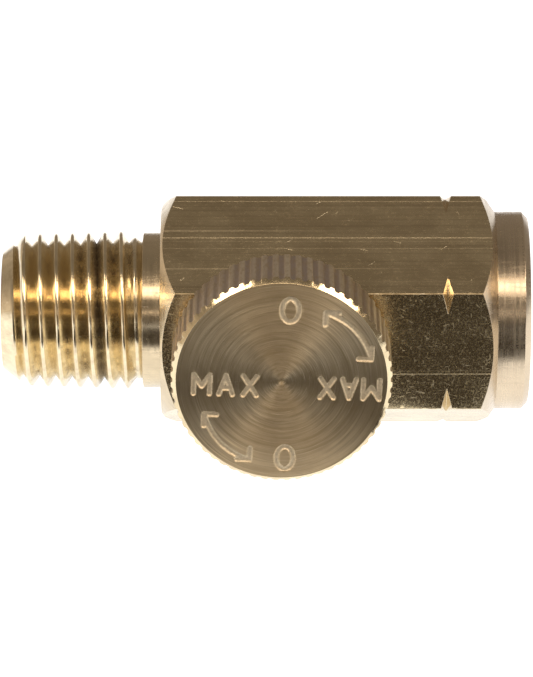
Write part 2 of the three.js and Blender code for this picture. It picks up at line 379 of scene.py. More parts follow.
def body_profile(turn_angle, hex_radius, corner):
    """The closed profile (x, radius) of the body at one angle, and the material zone of each strip.

    corner is the number of the hexagon's corner that this angle lies on, or None away from the corners."""
    left_slope = (HEX_CORNER - LEFT_CHAMFER_RADIUS) / CHAMFER_LENGTH
    right_slope = (HEX_CORNER - RIGHT_CHAMFER_RADIUS) / CHAMFER_LENGTH
    left_edge = HEX_START + (hex_radius - LEFT_CHAMFER_RADIUS) / left_slope
    right_edge = HEX_END - (hex_radius - RIGHT_CHAMFER_RADIUS) / right_slope
    groove_depth = max(0.0, hex_radius - GROOVE_RADIUS)
    groove_floor = hex_radius - groove_depth
    groove_half = groove_depth * FLANK

    parts = []

    def add(points, zone):
        parts.append((points, zone))

    def bar_line(start, end, steps):
        """Stations along the bar, dented where a corner has a nick."""
        line = [start]
        for i in range(1, steps):
            x = start[0] + (end[0] - start[0]) * i / steps
            line.append((x, hex_radius - (0 if corner is None else nick_depth(corner, x))))
        return line + [end]

    add([(DRILL_EDGE, DRILL_RADIUS), (0.0, DRILL_RADIUS + DRILL_EDGE)], INNER)
    add(male_points(turn_angle), THREADED)
    root = MALE_CREST_RADIUS + TAPER * MALE_THREAD_END - THREAD_DEPTH
    add(filleted(
        [(MALE_THREAD_END, root), (MALE_THREAD_END + 0.12, NECK_RADIUS), (HEX_START, NECK_RADIUS),
         (HEX_START, LEFT_CHAMFER_RADIUS), (left_edge, hex_radius)],
        [0, 0.08, 0.1, 0.08, 0],
    ), TURNED)
    hex_line = filleted(
        [(left_edge, hex_radius), (GROOVE_X - groove_half, hex_radius), (GROOVE_X, groove_floor),
         (GROOVE_X + groove_half, hex_radius), (right_edge, hex_radius)],
        [0, 0.05, 0.06, 0.05, 0],
    )
    add(bar_line(hex_line[0], hex_line[1], BAR_STEPS), DRAWN)
    add(hex_line[1:-1], TURNED)
    add(bar_line(hex_line[-2], hex_line[-1], BAR_STEPS // 8), DRAWN)
    add(filleted(
        [(right_edge, hex_radius), (HEX_END, RIGHT_CHAMFER_RADIUS),
         (HEX_END + 0.05, COLLAR_RADIUS), (LENGTH - COLLAR_EDGE, COLLAR_RADIUS),
         (LENGTH, COLLAR_RADIUS - COLLAR_EDGE), (LENGTH, MOUTH_RADIUS)],
        [0, 0.02, 0.02, 0.08, 0.08, 0],
    ), COLLAR)
    add(female_points(turn_angle)[::-1], THREADED)
    tap_end = FEMALE_THREAD_START - TAP_ROOM
    core = FEMALE_MAJOR_RADIUS - TAPER * (LENGTH - FEMALE_THREAD_START) - THREAD_DEPTH
    add([
        (tap_end, core), (tap_end - (core - PASSAGE_RADIUS) * FLANK, PASSAGE_RADIUS),
        (DRILL_END + (DRILL_RADIUS - PASSAGE_RADIUS) * FLANK, PASSAGE_RADIUS),
        (DRILL_END, DRILL_RADIUS), (DRILL_EDGE, DRILL_RADIUS),
    ], INNER)

    profile = []
    zones = []
    for points, zone in parts:
        if profile and np.allclose(profile[-1], points[0], atol=1e-9):
            points = points[1:]
        profile += points
        zones += [zone] * len(points)
    return profile, zones[1:]


def valve_body(materials):
    columns = []
    at_corner = []
    for angle in body_angles():
        turn = angle - math.pi / 2
        sector = round(turn / (math.pi / 3))
        from_corner = turn - sector * math.pi / 3
        on_corner = abs(from_corner) < CORNER_HALF_ANGLE * 0.99
        corner = sector % 6 if on_corner else None
        profile, zones = body_profile(turn, hexagon_radius(from_corner), corner)
        columns.append([(x, r * math.cos(angle), r * math.sin(angle)) for x, r in profile])
        at_corner.append(on_corner)

    def zone_at(i, j):
        return EDGE if zones[j] == DRAWN and (at_corner[i] or at_corner[i + 1]) else zones[j]

    piece = finished(loft(columns, zone_at), "body_metal", materials)
    past = 1.0
    tail_bore = TAIL_RADIUS + RUNNING_GAP
    tail_mouth = tail_bore + 0.2
    bore = [
        (0.0, -HEX_FLAT - past), (BORE_RADIUS + BORE_MOUTH + past, -HEX_FLAT - past),
        (BORE_RADIUS, -HEX_FLAT + BORE_MOUTH), (BORE_RADIUS, SHOULDER_Y),
        (tail_bore, SHOULDER_Y), (tail_bore, HEX_FLAT - 0.15),
        (tail_mouth, HEX_FLAT + 0.05), (tail_mouth, HEX_FLAT + past), (0.0, HEX_FLAT + past),
    ]
    # This cutter's faces point inward, so it only splits the body's faces along the bore: no bore is opened.
    cut(piece, ring_piece("bore_cutter", bore, materials), INNER)
    piece.data.set_sharp_from_angle(angle=math.radians(28))
    weigh_normals(piece)
    return piece


# ---- knob and spindle ----

MARK_CENTRE = (0.5, -0.5)  # the stamp struck a little off the knob's centre
MARK_TURN = math.radians(-2.0)
MARK_DEPTH = 0.13
MARK_HALF_WIDTH = 0.19
MARK_WALL = 0.12
LIP_HEIGHT = 0.02
LIP_OFFSET = 0.1
LIP_WIDTH = 0.05
ZERO_DISTANCES = (6.97, 6.58)  # the upper 0, and the lower one
WORD_DISTANCE = 5.2
ARROW_RADIUS = 7.48
ARROW_BULGE = 0.2
LETTER_SPACINGS = (2.03, 1.87)  # MAX on the left, and on the right


def zero_strokes():
    """The outline of a 0 about its own centre, as one closed polyline."""
    half_width, half_height = 0.72, 1.05
    return [[(half_width * math.cos(a), half_height * math.sin(a)) for a in once_round(24)]]


def word_strokes(spacing):
    """MAX in plain strokes about the middle of its A."""
    high, wide = 0.87, 0.57
    letters = [
        [[(-0.68, -high), (-0.68, high), (0, -0.2 * high), (0.68, high), (0.68, -high)]],
        [[(-wide, -high), (0, high), (wide, -high)],
         [(-0.62 * wide, -0.35 * high), (0.62 * wide, -0.35 * high)]],
        [[(-wide, -high), (wide, high)], [(-wide, high), (wide, -high)]],
    ]
    strokes = []
    for i, letter in enumerate(letters):
        strokes += placed(letter, 0, ((i - 1) * spacing, 0))
    return strokes


def arrow_strokes():
    """A double-headed arrow along an arc about the marks' centre, in the upper right quadrant."""
    low, high = math.radians(21.5), math.radians(66.5)
    barb = 0.76

    def on_arc(share):
        r = ARROW_RADIUS + ARROW_BULGE * math.sin(math.pi * share)
        angle = low + (high - low) * share
        return (r * math.cos(angle), r * math.sin(angle))

    shaft = [on_arc(i / 12) for i in range(13)]
    strokes = [shaft]
    for tip, far_tip in ((shaft[0], shaft[-1]), (shaft[-1], shaft[0])):
        back = math.atan2(far_tip[1] - tip[1], far_tip[0] - tip[0])
        strokes += placed([[(barb, barb), (0, 0), (barb, -barb)]], back, tip)
    return strokes


def placed(strokes, turn, offset):
    """Strokes turned about their own origin, and then moved by offset."""
    c, s = math.cos(turn), math.sin(turn)
    across, up = offset
    return [[(x * c - y * s + across, x * s + y * c + up) for x, y in stroke] for stroke in strokes]


def dial_strokes():
    """All the marks on the knob's face, in millimetres from its centre: X to the right, Z up."""
    strokes = []
    for turn, side, zero, spacing in zip((0, math.pi), (1, -1), ZERO_DISTANCES, LETTER_SPACINGS):
        strokes += placed(zero_strokes(), turn, (0, side * zero))
        strokes += placed(word_strokes(spacing), turn, (-side * WORD_DISTANCE, 0))
        strokes += placed(arrow_strokes(), turn, (0, 0))
    return placed(strokes, MARK_TURN, MARK_CENTRE)


def mark_distance(points):
    """The distance from each point to the nearest stroke."""
    nearest = np.full(len(points), 1e9)
    for stroke in dial_strokes():
        for start, end in zip(stroke, stroke[1:]):
            start = np.array(start)
            along = np.array(end) - start
            share = np.clip(((points - start) @ along) / (along @ along), 0, 1)
            off = points - (start + share[:, None] * along)
            nearest = np.minimum(nearest, np.hypot(off[:, 0], off[:, 1]))
    return nearest


def mark_depth(distance):
    """How deep a stamped stroke is at a distance from its centre line, with a thin raised lip beside it."""
    wall = np.clip((MARK_HALF_WIDTH + MARK_WALL / 2 - distance) / MARK_WALL, 0, 1)
    sunk = wall * wall * (3 - 2 * wall)
    lip = np.exp(-((distance - MARK_HALF_WIDTH - LIP_OFFSET) / LIP_WIDTH) ** 2)
    return MARK_DEPTH * sunk - LIP_HEIGHT * lip


def tooth_rise(share):
    """The knurl's height, from 0 in the valley to 1 on the tooth, at a share of the tooth pitch."""
    ramp = min(1.0, max(0.0, (abs(share - 0.5) - 0.17) / 0.2))
    return 1 - ramp * ramp * (3 - 2 * ramp)


def face_radii():
    """Rings of the knob's face from its centre mark outwards, close together where it is stamped."""
    plain = [0.0, 0.1, 0.2, 0.28, 0.36, 0.5, 0.7, 0.9]
    stamped = list(np.arange(1.1, FACE_RADIUS - 0.12, 0.07))
    return np.array(plain + stamped + [FACE_RADIUS - 0.06])


def knob_disc():
    """The knob's disc, from the centre of its face to near the spindle on its back."""
    radii = face_radii()
    dimple = np.interp(radii, (0.0, 0.3), (0.22, 0.0))
    angles = once_round(SECTORS)
    grid = np.array([[(r * math.cos(a), r * math.sin(a)) for r in radii] for a in angles])
    sunk = mark_depth(mark_distance(grid.reshape(-1, 2))).reshape(len(angles), len(radii))
    sunk[:, radii > FACE_RADIUS - 0.1] = 0
    columns = []
    for i, angle in enumerate(angles):
        face = [(r, KNOB_FRONT + depth + low) for r, depth, low in zip(radii, sunk[i], dimple)]
        rim = KNOB_RADIUS - TOOTH_DEPTH * (1 - tooth_rise((i % TOOTH_STEPS) / TOOTH_STEPS))
        side = filleted(
            [face[-1], (FACE_RADIUS, KNOB_FRONT), (rim, KNOB_FRONT + rim - FACE_RADIUS),
             (rim, KNOB_BACK - (rim - FACE_RADIUS) * 0.6), (FACE_RADIUS, KNOB_BACK),
             (DISC_INNER_RADIUS, KNOB_BACK)],
            [0, 0.05, 0.04, 0.04, 0.05, 0],
        )
        columns.append([about_spindle(r, angle, y) for r, y in face + side[1:]])

    last = len(radii) - 1
    bevel = last + 4
    stamped = sunk > 0.6 * MARK_DEPTH

    def zone_at(i, j):
        if j < last:
            return MARK if stamped[i:i + 2, j:j + 2].any() else FACE
        if j < last + 2:
            return FACE
        return BEVEL if j < bevel + 2 else KNURL

    return loft(columns, zone_at, flip=True)


def spindle_profile():
    half = RING_GROOVE_WIDTH / 2
    corners = [(SPINDLE_RADIUS, KNOB_BACK)]
    for name in ("front_o_ring", "rear_o_ring"):
        low, high = RING_BOXES[name]
        y = (low.y + high.y) / 2
        corners += [(SPINDLE_RADIUS, y - half), (RING_GROOVE_RADIUS, y - half)]
        corners += [(RING_GROOVE_RADIUS, y + half), (SPINDLE_RADIUS, y + half)]
    shoulder = SHOULDER_Y - RUNNING_GAP
    clip_near, clip_far = CLIP_LOW.y - CLIP_SLACK, CLIP_HIGH.y + CLIP_SLACK
    corners += [
        (SPINDLE_RADIUS, shoulder - EDGE_CHAMFER), (SPINDLE_RADIUS - EDGE_CHAMFER, shoulder),
        (TAIL_RADIUS, shoulder), (TAIL_RADIUS, clip_near), (CLIP_GROOVE_RADIUS, clip_near),
        (CLIP_GROOVE_RADIUS, clip_far), (TAIL_RADIUS, clip_far), (TAIL_RADIUS, TAIL_END - EDGE_CHAMFER),
        (TAIL_RADIUS - EDGE_CHAMFER, TAIL_END), (0.0, TAIL_END),
    ]
    return filleted(corners, [0.05] * len(corners))


def port_cutter(materials):
    """A round bar along the flow axis, for the hole through the spindle."""
    low, high = SPINDLE_X - 2 * SPINDLE_RADIUS, SPINDLE_X + 2 * SPINDLE_RADIUS
    columns = []
    for a in once_round(64):
        y, z = PORT_RADIUS * math.cos(a), PORT_RADIUS * math.sin(a)
        columns.append([(low, 0, 0), (low, y, z), (high, y, z), (high, 0, 0)])
    return finished(loft(columns), "port_cutter", materials)


def knob_spindle(materials):
    """The knob's disc with the spindle joined to its back, and the port through the spindle."""
    bm = knob_disc()
    bmesh.ops.remove_doubles(bm, verts=bm.verts, dist=MERGE * MM)
    share = 6
    sides = SECTORS // share
    spindle = spindle_profile()
    rows = []
    for angle in once_round(sides)[:-1]:
        rows.append([bm.verts.new(Vector(about_spindle(r, angle, y)) * MM) for r, y in spindle])
    for i in range(sides):
        here, after = rows[i], rows[(i + 1) % sides]
        for j in range(len(spindle) - 1):
            face = bm.faces.new((after[j], here[j], here[j + 1], after[j + 1]))
            face.material_index = PLUG
    rim = {}
    for vert in bm.verts:
        x, y, z = vert.co / MM
        r = math.hypot(x - SPINDLE_X, z)
        if abs(r - DISC_INNER_RADIUS) < 1e-3 and abs(y - KNOB_BACK) < 1e-3:
            angle = math.atan2(z, x - SPINDLE_X) % (2 * math.pi)
            rim[round(angle / (2 * math.pi) * SECTORS) % SECTORS] = vert
    for i in range(sides):
        here, after = rows[i][0], rows[(i + 1) % sides][0]
        for k in range(share):
            a, b = rim[(share * i + k) % SECTORS], rim[(share * i + k + 1) % SECTORS]
            bm.faces.new((here, b, a)).material_index = KNURL
        bm.faces.new((here, after, rim[share * (i + 1) % SECTORS])).material_index = KNURL

    piece = finished(bm, "knob_metal", materials)
    cut(piece, port_cutter(materials), PLUG)
    weigh_normals(piece)
    return piece


# ---- seals, washers and clip ----

def o_ring(name, material):
    low, high = RING_BOXES[name]
    outer = (high.x - low.x) / 2
    inner = RING_GROOVE_RADIUS + 0.03
    middle, across, along = (outer + inner) / 2, (outer - inner) / 2, (high.y - low.y) / 2
    y = (low.y + high.y) / 2
    section = [(middle + across * math.cos(a), y + along * math.sin(a)) for a in once_round(20)]
    return ring_piece(name + "_rubber", section, [material])


def washer(node, kind, inner, material, edge, lift=None, thick=None):
    """A washer in its node's box. A thick of its own, for a lifted one, stands in the middle of the box."""
    low, high = box_mm(node)
    outer = (high.x - low.x) / 2
    bottom = low.y if thick is None else (low.y + high.y - thick) / 2
    top = high.y if thick is None else bottom + thick
    seam = (inner, (bottom + top) / 2)
    corners = [seam, (inner, bottom), (outer, bottom), (outer, top), (inner, top), seam]
    profile = filleted(corners, [edge] * len(corners))
    return ring_piece(f"{node}_{kind}", profile, [material], lift=lift)


def retaining_clip(material):
    """An E-shaped clip: two end prongs and a middle prong grip the groove, with relief between them."""
    outer, grip, relief = 4.65, 2.06, 3.2
    mouth, end_prong, middle = 0.5, 0.95, 0.36

    def arc(r, start, end):
        steps = max(2, round(abs(end - start) / 0.08))
        return [(r, start + (end - start) * i / steps) for i in range(steps + 1)]

    full = 2 * math.pi
    outline = arc(outer, mouth, full - mouth)
    outline += arc(grip, full - end_prong, full - end_prong - 0.3)
    outline += arc(relief, full - end_prong - 0.45, math.pi + middle + 0.2)
    outline += arc(grip, math.pi + middle, math.pi - middle)
    outline += arc(relief, math.pi - middle - 0.2, end_prong + 0.45)
    outline += arc(grip, end_prong + 0.3, end_prong)
    bm = bmesh.new()
    opening = -math.pi / 2
    low = [bm.verts.new(Vector(about_spindle(r, a + opening, CLIP_LOW.y)) * MM) for r, a in outline]
    base = bm.faces.new(low)
    grown = bmesh.ops.extrude_face_region(bm, geom=[base])
    raised = [g for g in grown["geom"] if isinstance(g, bmesh.types.BMVert)]
    bmesh.ops.translate(bm, verts=raised, vec=Vector((0, (CLIP_HIGH.y - CLIP_LOW.y) * MM, 0)))
    bmesh.ops.recalc_face_normals(bm, faces=bm.faces)
    flat_edges = [e for e in bm.edges if abs(e.verts[0].co.y - e.verts[1].co.y) < 1e-7]
    bmesh.ops.bevel(bm, geom=flat_edges, offset=0.06 * MM, segments=2, profile=0.5, affect="EDGES")
    piece = finished(bm, "clip_steel", [material])
    weigh_normals(piece)
    return piece


# ---- materials ----

class Nodes:
    """A small wrapper that adds and links nodes in one node tree."""

    def __init__(self, tree):
        self.tree = tree

    def add(self, kind, **settings):
        node = self.tree.nodes.new("ShaderNode" + kind)
        for key, value in settings.items():
            setattr(node, key, value)
        return node

    def link(self, source, target):
        if isinstance(source, (int, float, tuple)):
            target.default_value = source
        else:
            self.tree.links.new(source, target)

    def math(self, operation, a, b=0.0):
        node = self.add("Math", operation=operation)
        for value, socket in zip((a, b), node.inputs):
            self.link(value, socket)
        return node.outputs[0]

    def times(self, a, b):
        return self.math("MULTIPLY", a, b)

    def total(self, *values):
        result = values[0]
        for value in values[1:]:
            result = self.math("ADD", result, value)
        return result

    def vector(self, operation, a, b, output="Vector"):
        node = self.add("VectorMath", operation=operation)
        self.link(a, node.inputs[0])
        self.link(b, node.inputs[1])
        return node.outputs[output]

    def combined(self, x=0.0, y=0.0, z=0.0):
        node = self.add("CombineXYZ")
        for value, socket in zip((x, y, z), node.inputs):
            self.link(value, socket)
        return node.outputs[0]

    def separated(self, vector):
        node = self.add("SeparateXYZ")
        self.link(vector, node.inputs[0])
        return node.outputs

    def ramp(self, value, low, high, start=0.0, end=1.0):
        node = self.add("MapRange", clamp=True)
        keys = ("Value", "From Min", "From Max", "To Min", "To Max")
        for key, number in zip(keys, (value, low, high, start, end)):
            self.link(number, node.inputs[key])
        return node.outputs["Result"]

    def line(self, value, at, half_width):
        """1 where value is at the given number, falling to 0 at half_width from it."""
        off = self.math("ABSOLUTE", self.math("SUBTRACT", value, at))
        return self.ramp(off, 0.0, half_width, 1.0, 0.0)

    def mix(self, share, a, b):
        node = self.add("Mix", data_type="RGBA")
        self.link(share, node.inputs["Factor"])
        self.link((*a, 1.0) if isinstance(a, tuple) else a, node.inputs[6])
        self.link((*b, 1.0) if isinstance(b, tuple) else b, node.inputs[7])
        return node.outputs[2]

    def bump(self, height, distance_mm, normal=None):
        node = self.add("Bump")
        node.inputs["Distance"].default_value = distance_mm * MM
        self.link(height, node.inputs["Height"])
        if normal is not None:
            self.link(normal, node.inputs["Normal"])
        return node.outputs[0]

    def between(self, share, low, high):
        """A value that goes from low to high as share goes from 0 to 1."""
        return self.total(self.times(low, self.math("SUBTRACT", 1.0, share)), self.times(high, share))


class Look(Nodes):
    """The nodes of one material of the valve."""

    def __init__(self, name):
        self.material = bpy.data.materials.new(name)
        self.material.use_nodes = True
        super().__init__(self.material.node_tree)
        self.shader = self.tree.nodes["Principled BSDF"]
        self.place = self.add("TexCoord").outputs["Object"]

    def noise(self, scale, vector=None, detail=3.0, rough=0.55, turn=0.0):
        """Noise over the place, or another vector, turned about its third axis by turn degrees.

        scale is one number, or one for each axis."""
        turned = vector or self.place
        if turn:
            node = self.add("VectorRotate", rotation_type="Z_AXIS")
            node.inputs["Angle"].default_value = math.radians(turn)
            self.link(turned, node.inputs["Vector"])
            turned = node.outputs[0]
        scales = scale if isinstance(scale, tuple) else (scale, scale, scale)
        node = self.add("TexNoise")
        self.link(self.vector("MULTIPLY", turned, scales), node.inputs["Vector"])
        for key, value in (("Scale", 1.0), ("Detail", detail), ("Roughness", rough)):
            node.inputs[key].default_value = value
        return node.outputs["Fac"]

    def distance(self, a, b):
        return self.math("SQRT", self.total(self.times(a, a), self.times(b, b)))

    def around_flow(self):
        """(x, way round the flow axis at a radius of 7 mm, radius) as a vector, and x and radius alone."""
        x, y, z = self.separated(self.place)
        radius = self.distance(y, z)
        round_it = self.times(self.math("ARCTAN2", z, y), 7 * MM)
        return self.combined(x, round_it, radius), x, radius

    def about_knob(self):
        """(radius, angle) about the spindle's axis."""
        x, _, z = self.separated(self.place)
        x = self.math("SUBTRACT", x, SPINDLE_X * MM)
        return self.distance(x, z), self.math("ARCTAN2", z, x)

    def finish(self, colour, roughness, normal=None, metallic=1.0):
        self.link(colour, self.shader.inputs["Base Color"])
        self.link(roughness, self.shader.inputs["Roughness"])
        self.shader.inputs["Metallic"].default_value = metallic
        if normal is not None:
            self.link(normal, self.shader.inputs["Normal"])
        return self.material


BRASS_LIGHT = (0.76, 0.64, 0.41)
BRASS_MID = (0.63, 0.52, 0.325)
BRASS_DARK = (0.44, 0.35, 0.215)
# The next colour is rubbed brass, and on the knob's face also the painted highlight streaks.
BRASS_RUBBED_AND_SHEEN = (0.92, 0.82, 0.6)
BRASS_GREY = (0.56, 0.47, 0.37)
# The speck colour is painted glints.
BRASS_SPECK_GLINT = (0.98, 0.82, 0.45)
GRIME = (0.10, 0.07, 0.042)


# Long scores along the bar, as (height across a flat, half width, strength): height 0 is a flat's middle.
SLANTED_SCORES = (
    (0.73, 0.035, 1.0), (4.72, 0.03, 0.6), (4.1, 0.02, 0.3),
    (2.6, 0.02, 0.2), (0.35, 0.02, 0.35), (-0.42, 0.025, 0.4),
)
UPRIGHT_SCORES = ((-2.08, 0.035, 1.0), (-1.8, 0.02, 0.25), (1.9, 0.02, 0.2))


def drawn_brass():
    """The hexagon's flats: fine draw lines, a few long scores, cloudy tarnish, handling marks and painted
    glints.
    """
    n = Look("drawn_brass")
    normal_at = n.add("NewGeometry").outputs["True Normal"]
    across = n.vector("CROSS_PRODUCT", normal_at, (1.0, 0.0, 0.0))
    height = n.vector("DOT_PRODUCT", n.place, across, "Value")
    side = n.vector("DOT_PRODUCT", normal_at, (0.0, 0.013, 0.029), "Value")
    slanted = n.ramp(n.math("ABSOLUTE", n.separated(normal_at)[2]), 0.3, 0.6)
    x = n.separated(n.place)[0]
    flat = n.combined(x, height, side)

    def on_flat(along, across, **settings):
        return n.noise((along, across, 300), flat, **settings)

    lines = on_flat(18, 5200, detail=4, rough=0.7)
    scored = on_flat(9, 2500, detail=2, rough=0.6)
    broad = on_flat(14, 1300)
    clouds = on_flat(230, 330, detail=4)
    sandy = on_flat(5600, 5600, detail=2, rough=0.7)
    dashes = on_flat(1500, 6200, detail=2, rough=0.7)
    grain = n.between(n.times(slanted, 0.55), sandy, dashes)
    cross = on_flat(5200, 500, detail=2)

    def streaks(directions, scale, rarity, softness):
        """Short straight scratches in a few directions, each kind moved aside from the others."""
        found = 0.0
        for i, turn in enumerate(directions):
            aside = 0.11 + 0.13 * i
            streak = n.noise(scale, n.vector("ADD", flat, (aside, aside, 0.0)), detail=1, turn=turn)
            found = n.math("MAXIMUM", found, n.ramp(streak, rarity, rarity + softness))
        return found

    scratches = streaks((17, -38, 64), (430, 8000, 300), 0.8, 0.03)
    hairs = streaks((-12, 33, -71, 85, 8), (1000, 9000, 300), 0.7, 0.06)
    hairs = n.times(hairs, n.ramp(slanted, 0.0, 1.0, 0.55, 0.12))
    specks = n.times(n.ramp(grain, 0.51, 0.73), n.ramp(clouds, 0.35, 0.6, 0.75, 1.0))

    broken = n.ramp(on_flat(160, 40), 0.28, 0.4)
    scores = n.times(n.ramp(scored, 0.62, 0.68), n.times(slanted, 0.25))
    upright = n.math("SUBTRACT", 1.0, slanted)
    for share, kinds in ((slanted, SLANTED_SCORES), (upright, UPRIGHT_SCORES)):
        for at, half, strength in kinds:
            score = n.times(n.line(height, at * MM, half * MM), n.times(share, strength))
            scores = n.math("MAXIMUM", scores, score)
    scores = n.times(scores, broken)

    colour = n.mix(n.ramp(clouds, 0.38, 0.62), BRASS_MID, BRASS_LIGHT)
    colour = n.mix(n.ramp(lines, 0.5, 0.66, 0.0, 0.5), colour, BRASS_DARK)
    colour = n.mix(n.times(n.ramp(scored, 0.42, 0.34), n.times(slanted, 0.3)), colour, BRASS_DARK)
    bright = n.math("MAXIMUM", n.math("MAXIMUM", scratches, hairs), scores)
    colour = n.mix(bright, colour, BRASS_RUBBED_AND_SHEEN)
    # Painted glints: the bright speck colour goes on the upright flats only; the specks' roughness below is
    # real grain.
    colour = n.mix(n.times(specks, n.ramp(slanted, 0.0, 1.0, 0.7, 0.0)), colour, BRASS_SPECK_GLINT)
    rough = n.total(n.ramp(broad, 0.3, 0.7, 0.2, 0.23), n.times(specks, 0.2),
                    n.times(bright, 0.25), n.times(scores, 0.3))
    normal = n.bump(lines, 0.004)
    normal = n.bump(broad, 0.003, normal)
    normal = n.bump(n.total(grain, cross), 0.0014, normal)
    normal = n.bump(bright, 0.006, normal)
    return n.finish(colour, rough, normal)


def edge_brass():
    """The bar's rounded corners: rubbed bright, with small dents."""
    n = Look("rubbed_brass")
    grain = n.noise(3600, rough=0.7)
    dull = n.noise((900, 500, 500), detail=2)
    worn = n.ramp(n.noise((380, 200, 200), rough=0.7), 0.52, 0.62)
    colour = n.mix(n.ramp(dull, 0.4, 0.65), BRASS_MID, BRASS_DARK)
    colour = n.mix(worn, colour, BRASS_RUBBED_AND_SHEEN)
    rough = n.math("ADD", n.ramp(grain, 0.3, 0.7, 0.18, 0.34), n.ramp(worn, 0.0, 1.0, 0.4, 0.0))
    return n.finish(colour, rough, n.bump(grain, 0.006))


def turned_brass(name="turned_brass", polish=0.16, marks_mm=0.003, streaks=0.35, uneven=0.0, tone=0.0):
    """Turned brass: tool marks round the flow axis and faint rubbing along it.

    uneven is how much rougher the roughest rings are, and tone how grey the colour is."""
    n = Look(name)
    place = n.around_flow()[0]
    marks = n.noise((9000, 70, 9000), place, rough=0.6)
    rubbed = n.noise((420, 4200, 300), place, rough=0.65)
    clouds = n.noise(330, place, detail=4)
    specks = n.ramp(n.noise(2600, detail=1), 0.72, 0.78)
    colour = n.mix(n.ramp(clouds, 0.38, 0.62), BRASS_MID, BRASS_LIGHT)
    colour = n.mix(n.times(n.ramp(rubbed, 0.5, 0.7), streaks), colour, BRASS_DARK)
    colour = n.mix(n.times(specks, 0.6), colour, BRASS_DARK)
    colour = n.mix(tone, colour, BRASS_GREY)
    rings = n.ramp(n.noise((3400, 30, 0), place, rough=0.7), 0.38, 0.62)
    rough = n.total(n.ramp(clouds, 0.3, 0.7, polish, polish + 0.05), n.ramp(rubbed, 0.5, 0.75, 0.0, 0.1),
                    n.times(rings, uneven))
    normal = n.bump(marks, marks_mm)
    return n.finish(colour, rough, n.bump(rubbed, 0.002 * streaks, normal))


def thread_brass():
    """The threads: cut bright on the flanks, darkened in patches and along some of the valleys."""
    n = Look("thread_brass")
    place, x, radius = n.around_flow()
    chatter = n.noise((7000, 160, 7000), place, rough=0.6)
    per_turn = n.noise((900, 130, 100), place, detail=2)
    patches = n.noise((700, 900, 900), place, detail=4, rough=0.65)
    specks = n.ramp(n.noise(3800, detail=1), 0.7, 0.76)
    grime = n.times(n.ramp(per_turn, 0.5, 0.68), n.ramp(patches, 0.42, 0.62))
    worst = n.times(n.line(x, 8.35 * MM, 1.2 * MM), n.ramp(patches, 0.3, 0.5, 0.4, 1.0))
    spread = n.times(n.ramp(x, 2.0 * MM, 3.0 * MM), 0.7)
    grime = n.math("MAXIMUM", n.times(grime, spread), worst)
    from_crest = n.math("SUBTRACT", MALE_CREST_RADIUS * MM, n.math("SUBTRACT", radius, n.times(x, TAPER)))
    valley = n.ramp(from_crest, 0.25 * THREAD_DEPTH * MM, 0.6 * THREAD_DEPTH * MM)
    grime = n.times(grime, valley)
    colour = n.mix(n.ramp(patches, 0.4, 0.65), (0.82, 0.71, 0.49), (0.68, 0.57, 0.38))
    colour = n.mix(n.times(grime, 0.75), colour, GRIME)
    colour = n.mix(n.times(specks, 0.8), colour, BRASS_RUBBED_AND_SHEEN)
    rough = n.total(n.ramp(patches, 0.35, 0.7, 0.14, 0.24), n.times(grime, 0.25))
    return n.finish(colour, rough, n.bump(patches, 0.01, n.bump(chatter, 0.004)))


def knob_face_brass():
    """The knob's face: concentric facing marks that spread the light along the radius, and painted highlights
    and shade.
    """
    n = Look("faced_brass")
    radius, angle = n.about_knob()
    rings = n.combined(radius, n.times(angle, 0.0011))
    fine = n.noise((9500, 900, 0), rings, rough=0.65)
    feed = n.noise((3200, 700, 0), rings, rough=0.65)
    broad = n.noise((620, 90, 0), rings, detail=2)
    clouds = n.noise(360, detail=4)
    scuffs = n.noise((5200, 700, 5200), detail=2)
    # The next three masks paint light: highlight streaks along the diagonals, strongest at the upper right
    # and lower left, and shade at the left and right.
    diagonal = n.math("SINE", n.times(angle, 2.0))
    painted_shade_sides = n.math("ABSOLUTE", n.math("COSINE", angle))
    painted_highlight_spokes = n.math("MAXIMUM", n.ramp(diagonal, 0.6, 1.0), n.ramp(diagonal, -0.7, -1.0, 0.0, 0.6))
    colour = n.mix(n.ramp(clouds, 0.38, 0.64), BRASS_MID, BRASS_LIGHT)
    colour = n.mix(0.25, colour, BRASS_GREY)
    # Painted shade: the face is darker towards its left and right.
    colour = n.mix(n.ramp(painted_shade_sides, 0.8, 1.0, 0.0, 0.45), colour, BRASS_DARK)
    # Painted highlight: bright streaks along the diagonals.
    colour = n.mix(n.times(painted_highlight_spokes, n.ramp(fine, 0.35, 0.65, 0.2, 0.9)), colour, BRASS_RUBBED_AND_SHEEN)
    colour = n.mix(n.ramp(broad, 0.42, 0.62, 0.0, 0.4), colour, BRASS_DARK)
    colour = n.mix(n.ramp(feed, 0.46, 0.62, 0.0, 0.6), colour, BRASS_DARK)
    colour = n.mix(n.ramp(fine, 0.56, 0.7, 0.0, 0.5), colour, BRASS_RUBBED_AND_SHEEN)
    rough = n.total(n.ramp(broad, 0.3, 0.7, 0.5, 0.6), n.ramp(scuffs, 0.6, 0.75, 0.0, 0.08))
    normal = n.bump(fine, 0.01)
    normal = n.bump(feed, 0.045, normal)
    normal = n.bump(broad, 0.03, normal)
    n.shader.inputs["Anisotropic"].default_value = 0.8
    n.shader.inputs["Anisotropic Rotation"].default_value = 0.25
    tangent = n.add("Tangent", direction_type="RADIAL", axis="Y")
    n.link(tangent.outputs[0], n.shader.inputs["Tangent"])
    return n.finish(colour, rough, normal)


def bevel_brass():
    """The knob's front bevel, turned smooth."""
    n = Look("bevel_brass")
    radius, angle = n.about_knob()
    marks = n.noise((9000, 0.8, 0), n.combined(radius, angle), detail=2)
    clouds = n.noise(500)
    colour = n.mix(n.ramp(clouds, 0.4, 0.62), BRASS_MID, BRASS_LIGHT)
    return n.finish(colour, n.ramp(clouds, 0.3, 0.7, 0.15, 0.2), n.bump(marks, 0.002))


